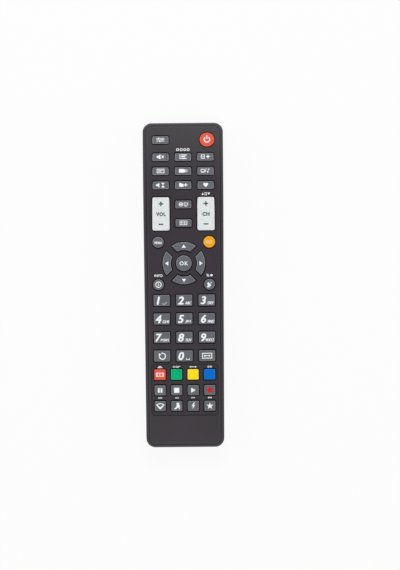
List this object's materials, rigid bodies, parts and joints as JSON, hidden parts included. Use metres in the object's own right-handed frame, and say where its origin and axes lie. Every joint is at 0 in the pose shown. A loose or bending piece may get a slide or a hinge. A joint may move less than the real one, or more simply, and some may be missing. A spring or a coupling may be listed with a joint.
{
  "type": "satellite receiver remote control",
  "caption": "Slim hand-held infra-red remote with a bowed face, travelling keys, two rockers, an arrow pad and a latched battery door.",
  "frame": {"origin": "under the middle of the handset, on the surface it rests on", "axes": "+X to the right and +Y towards the infra-red end, seen from the keys; +Z out of the key face"},
  "size_m": [0.0534, 0.215, 0.0243],
  "materials": {
    "housing_plastic": "fine spark-eroded texture, charcoal grey",
    "key_grey": "smooth satin, mid grey",
    "key_white": "smooth satin, white",
    "key_red": "smooth satin, orange red",
    "key_orange": "smooth satin, orange",
    "key_green": "smooth satin, green",
    "key_yellow": "smooth satin, yellow",
    "key_blue": "smooth satin, blue",
    "mat_silicone": "matt silicone",
    "board_laminate": "green solder mask on laminate",
    "component_plastic": "black moulded epoxy",
    "led_epoxy": "tinted clear epoxy",
    "cell_jacket": "printed jacket, steel ends",
    "spring_steel": "nickel-plated spring wire",
    "contact_plate": "nickel-plated strip"
  },
  "bodies": {
    "housing": {"upper_housing": "housing_plastic", "lower_housing": "housing_plastic", "keypad_mat": "mat_silicone", "circuit_board": "board_laminate", "board_components": "component_plastic", "ir_led": "led_epoxy", "battery_left": "cell_jacket", "battery_right": "cell_jacket", "contact_springs": "spring_steel", "contact_plates": "contact_plate"},
    "door": {"battery_door": "housing_plastic"},
    "latch": {"door_latch": "housing_plastic"},
    "volume_rocker": {"volume_rocker": "key_white"},
    "channel_rocker": {"channel_rocker": "key_white"},
    "power_key": {"power_key": "key_red"},
    "option_key": {"option_key": "key_grey"},
    "mute_key": {"mute_key": "key_grey"},
    "ok_key": {"ok_key": "key_grey"},
    "up_key": {"up_key": "key_grey"},
    "down_key": {"down_key": "key_grey"},
    "left_key": {"left_key": "key_grey"},
    "right_key": {"right_key": "key_grey"},
    "menu_key": {"menu_key": "key_grey"},
    "exit_key": {"exit_key": "key_orange"},
    "info_key": {"info_key": "key_grey"},
    "satellite_key": {"satellite_key": "key_grey"},
    "network_key": {"network_key": "key_grey"},
    "guide_key": {"guide_key": "key_grey"},
    "function_key_a2": {"function_key_a2": "key_grey"},
    "function_key_a3": {"function_key_a3": "key_grey"},
    "function_key_b1": {"function_key_b1": "key_grey"},
    "function_key_b2": {"function_key_b2": "key_grey"},
    "function_key_b3": {"function_key_b3": "key_grey"},
    "function_key_c1": {"function_key_c1": "key_grey"},
    "function_key_c2": {"function_key_c2": "key_grey"},
    "function_key_c3": {"function_key_c3": "key_grey"},
    "number_key_0": {"number_key_0": "key_grey"},
    "number_key_1": {"number_key_1": "key_grey"},
    "number_key_2": {"number_key_2": "key_grey"},
    "number_key_3": {"number_key_3": "key_grey"},
    "number_key_4": {"number_key_4": "key_grey"},
    "number_key_5": {"number_key_5": "key_grey"},
    "number_key_6": {"number_key_6": "key_grey"},
    "number_key_7": {"number_key_7": "key_grey"},
    "number_key_8": {"number_key_8": "key_grey"},
    "number_key_9": {"number_key_9": "key_grey"},
    "recall_key": {"recall_key": "key_grey"},
    "format_key": {"format_key": "key_grey"},
    "pause_key": {"pause_key": "key_grey"},
    "stop_key": {"stop_key": "key_grey"},
    "play_key": {"play_key": "key_grey"},
    "record_key": {"record_key": "key_grey"},
    "shortcut_key_1": {"shortcut_key_1": "key_grey"},
    "shortcut_key_2": {"shortcut_key_2": "key_grey"},
    "shortcut_key_3": {"shortcut_key_3": "key_grey"},
    "shortcut_key_4": {"shortcut_key_4": "key_grey"},
    "red_key": {"red_key": "key_red"},
    "green_key": {"green_key": "key_green"},
    "yellow_key": {"yellow_key": "key_yellow"},
    "blue_key": {"blue_key": "key_blue"}
  },
  "joints": [
    {"name": "door_hinge", "type": "hinge", "parent": "housing", "child": "door", "pos_m": [0, -0.03167, 0.0002], "axis": [1, 0, 0], "range_deg": [0, 40]},
    {"name": "latch_flex", "type": "hinge", "parent": "door", "child": "latch", "pos_m": [0, -0.08991, 0.0083], "axis": [1, 0, 0], "range_deg": [0, 8], "stiffness_Nm_per_rad": 0.2},
    {"name": "volume_rock", "type": "hinge", "parent": "housing", "child": "volume_rocker", "pos_m": [-0.0148, 0.0465, 0.02245], "axis": [1, 0, 0], "range_deg": [-2.5, 2.5], "stiffness_Nm_per_rad": 0.25},
    {"name": "channel_rock", "type": "hinge", "parent": "housing", "child": "channel_rocker", "pos_m": [0.0148, 0.0465, 0.02245], "axis": [1, 0, 0], "range_deg": [-2.5, 2.5], "stiffness_Nm_per_rad": 0.25},
    {"name": "power_key_press", "type": "slide", "parent": "housing", "child": "power_key", "axis": [0, 0, -1], "range_m": [0, 0.0007], "stiffness_N_per_m": 800},
    {"name": "option_key_press", "type": "slide", "parent": "housing", "child": "option_key", "axis": [0, 0, -1], "range_m": [0, 0.0007], "stiffness_N_per_m": 800},
    {"name": "mute_key_press", "type": "slide", "parent": "housing", "child": "mute_key", "axis": [0, 0, -1], "range_m": [0, 0.0007], "stiffness_N_per_m": 800},
    {"name": "ok_key_press", "type": "slide", "parent": "housing", "child": "ok_key", "axis": [0, 0, -1], "range_m": [0, 0.0007], "stiffness_N_per_m": 800},
    {"name": "up_key_press", "type": "slide", "parent": "housing", "child": "up_key", "axis": [0, 0, -1], "range_m": [0, 0.0007], "stiffness_N_per_m": 800},
    {"name": "down_key_press", "type": "slide", "parent": "housing", "child": "down_key", "axis": [0, 0, -1], "range_m": [0, 0.0007], "stiffness_N_per_m": 800},
    {"name": "left_key_press", "type": "slide", "parent": "housing", "child": "left_key", "axis": [0, 0, -1], "range_m": [0, 0.0007], "stiffness_N_per_m": 800},
    {"name": "right_key_press", "type": "slide", "parent": "housing", "child": "right_key", "axis": [0, 0, -1], "range_m": [0, 0.0007], "stiffness_N_per_m": 800},
    {"name": "menu_key_press", "type": "slide", "parent": "housing", "child": "menu_key", "axis": [0, 0, -1], "range_m": [0, 0.0007], "stiffness_N_per_m": 800},
    {"name": "exit_key_press", "type": "slide", "parent": "housing", "child": "exit_key", "axis": [0, 0, -1], "range_m": [0, 0.0007], "stiffness_N_per_m": 800},
    {"name": "info_key_press", "type": "slide", "parent": "housing", "child": "info_key", "axis": [0, 0, -1], "range_m": [0, 0.0007], "stiffness_N_per_m": 800},
    {"name": "satellite_key_press", "type": "slide", "parent": "housing", "child": "satellite_key", "axis": [0, 0, -1], "range_m": [0, 0.0007], "stiffness_N_per_m": 800},
    {"name": "network_key_press", "type": "slide", "parent": "housing", "child": "network_key", "axis": [0, 0, -1], "range_m": [0, 0.0007], "stiffness_N_per_m": 800},
    {"name": "guide_key_press", "type": "slide", "parent": "housing", "child": "guide_key", "axis": [0, 0, -1], "range_m": [0, 0.0007], "stiffness_N_per_m": 800},
    {"name": "function_key_a2_press", "type": "slide", "parent": "housing", "child": "function_key_a2", "axis": [0, 0, -1], "range_m": [0, 0.0007], "stiffness_N_per_m": 800},
    {"name": "function_key_a3_press", "type": "slide", "parent": "housing", "child": "function_key_a3", "axis": [0, 0, -1], "range_m": [0, 0.0007], "stiffness_N_per_m": 800},
    {"name": "function_key_b1_press", "type": "slide", "parent": "housing", "child": "function_key_b1", "axis": [0, 0, -1], "range_m": [0, 0.0007], "stiffness_N_per_m": 800},
    {"name": "function_key_b2_press", "type": "slide", "parent": "housing", "child": "function_key_b2", "axis": [0, 0, -1], "range_m": [0, 0.0007], "stiffness_N_per_m": 800},
    {"name": "function_key_b3_press", "type": "slide", "parent": "housing", "child": "function_key_b3", "axis": [0, 0, -1], "range_m": [0, 0.0007], "stiffness_N_per_m": 800},
    {"name": "function_key_c1_press", "type": "slide", "parent": "housing", "child": "function_key_c1", "axis": [0, 0, -1], "range_m": [0, 0.0007], "stiffness_N_per_m": 800},
    {"name": "function_key_c2_press", "type": "slide", "parent": "housing", "child": "function_key_c2", "axis": [0, 0, -1], "range_m": [0, 0.0007], "stiffness_N_per_m": 800},
    {"name": "function_key_c3_press", "type": "slide", "parent": "housing", "child": "function_key_c3", "axis": [0, 0, -1], "range_m": [0, 0.0007], "stiffness_N_per_m": 800},
    {"name": "number_key_0_press", "type": "slide", "parent": "housing", "child": "number_key_0", "axis": [0, 0, -1], "range_m": [0, 0.0007], "stiffness_N_per_m": 800},
    {"name": "number_key_1_press", "type": "slide", "parent": "housing", "child": "number_key_1", "axis": [0, 0, -1], "range_m": [0, 0.0007], "stiffness_N_per_m": 800},
    {"name": "number_key_2_press", "type": "slide", "parent": "housing", "child": "number_key_2", "axis": [0, 0, -1], "range_m": [0, 0.0007], "stiffness_N_per_m": 800},
    {"name": "number_key_3_press", "type": "slide", "parent": "housing", "child": "number_key_3", "axis": [0, 0, -1], "range_m": [0, 0.0007], "stiffness_N_per_m": 800},
    {"name": "number_key_4_press", "type": "slide", "parent": "housing", "child": "number_key_4", "axis": [0, 0, -1], "range_m": [0, 0.0007], "stiffness_N_per_m": 800},
    {"name": "number_key_5_press", "type": "slide", "parent": "housing", "child": "number_key_5", "axis": [0, 0, -1], "range_m": [0, 0.0007], "stiffness_N_per_m": 800},
    {"name": "number_key_6_press", "type": "slide", "parent": "housing", "child": "number_key_6", "axis": [0, 0, -1], "range_m": [0, 0.0007], "stiffness_N_per_m": 800},
    {"name": "number_key_7_press", "type": "slide", "parent": "housing", "child": "number_key_7", "axis": [0, 0, -1], "range_m": [0, 0.0007], "stiffness_N_per_m": 800},
    {"name": "number_key_8_press", "type": "slide", "parent": "housing", "child": "number_key_8", "axis": [0, 0, -1], "range_m": [0, 0.0007], "stiffness_N_per_m": 800},
    {"name": "number_key_9_press", "type": "slide", "parent": "housing", "child": "number_key_9", "axis": [0, 0, -1], "range_m": [0, 0.0007], "stiffness_N_per_m": 800},
    {"name": "recall_key_press", "type": "slide", "parent": "housing", "child": "recall_key", "axis": [0, 0, -1], "range_m": [0, 0.0007], "stiffness_N_per_m": 800},
    {"name": "format_key_press", "type": "slide", "parent": "housing", "child": "format_key", "axis": [0, 0, -1], "range_m": [0, 0.0007], "stiffness_N_per_m": 800},
    {"name": "pause_key_press", "type": "slide", "parent": "housing", "child": "pause_key", "axis": [0, 0, -1], "range_m": [0, 0.0007], "stiffness_N_per_m": 800},
    {"name": "stop_key_press", "type": "slide", "parent": "housing", "child": "stop_key", "axis": [0, 0, -1], "range_m": [0, 0.0007], "stiffness_N_per_m": 800},
    {"name": "play_key_press", "type": "slide", "parent": "housing", "child": "play_key", "axis": [0, 0, -1], "range_m": [0, 0.0007], "stiffness_N_per_m": 800},
    {"name": "record_key_press", "type": "slide", "parent": "housing", "child": "record_key", "axis": [0, 0, -1], "range_m": [0, 0.0007], "stiffness_N_per_m": 800},
    {"name": "shortcut_key_1_press", "type": "slide", "parent": "housing", "child": "shortcut_key_1", "axis": [0, 0, -1], "range_m": [0, 0.0007], "stiffness_N_per_m": 800},
    {"name": "shortcut_key_2_press", "type": "slide", "parent": "housing", "child": "shortcut_key_2", "axis": [0, 0, -1], "range_m": [0, 0.0007], "stiffness_N_per_m": 800},
    {"name": "shortcut_key_3_press", "type": "slide", "parent": "housing", "child": "shortcut_key_3", "axis": [0, 0, -1], "range_m": [0, 0.0007], "stiffness_N_per_m": 800},
    {"name": "shortcut_key_4_press", "type": "slide", "parent": "housing", "child": "shortcut_key_4", "axis": [0, 0, -1], "range_m": [0, 0.0007], "stiffness_N_per_m": 800},
    {"name": "red_key_press", "type": "slide", "parent": "housing", "child": "red_key", "axis": [0, 0, -1], "range_m": [0, 0.0007], "stiffness_N_per_m": 800},
    {"name": "green_key_press", "type": "slide", "parent": "housing", "child": "green_key", "axis": [0, 0, -1], "range_m": [0, 0.0007], "stiffness_N_per_m": 800},
    {"name": "yellow_key_press", "type": "slide", "parent": "housing", "child": "yellow_key", "axis": [0, 0, -1], "range_m": [0, 0.0007], "stiffness_N_per_m": 800},
    {"name": "blue_key_press", "type": "slide", "parent": "housing", "child": "blue_key", "axis": [0, 0, -1], "range_m": [0, 0.0007], "stiffness_N_per_m": 800}
  ]
}
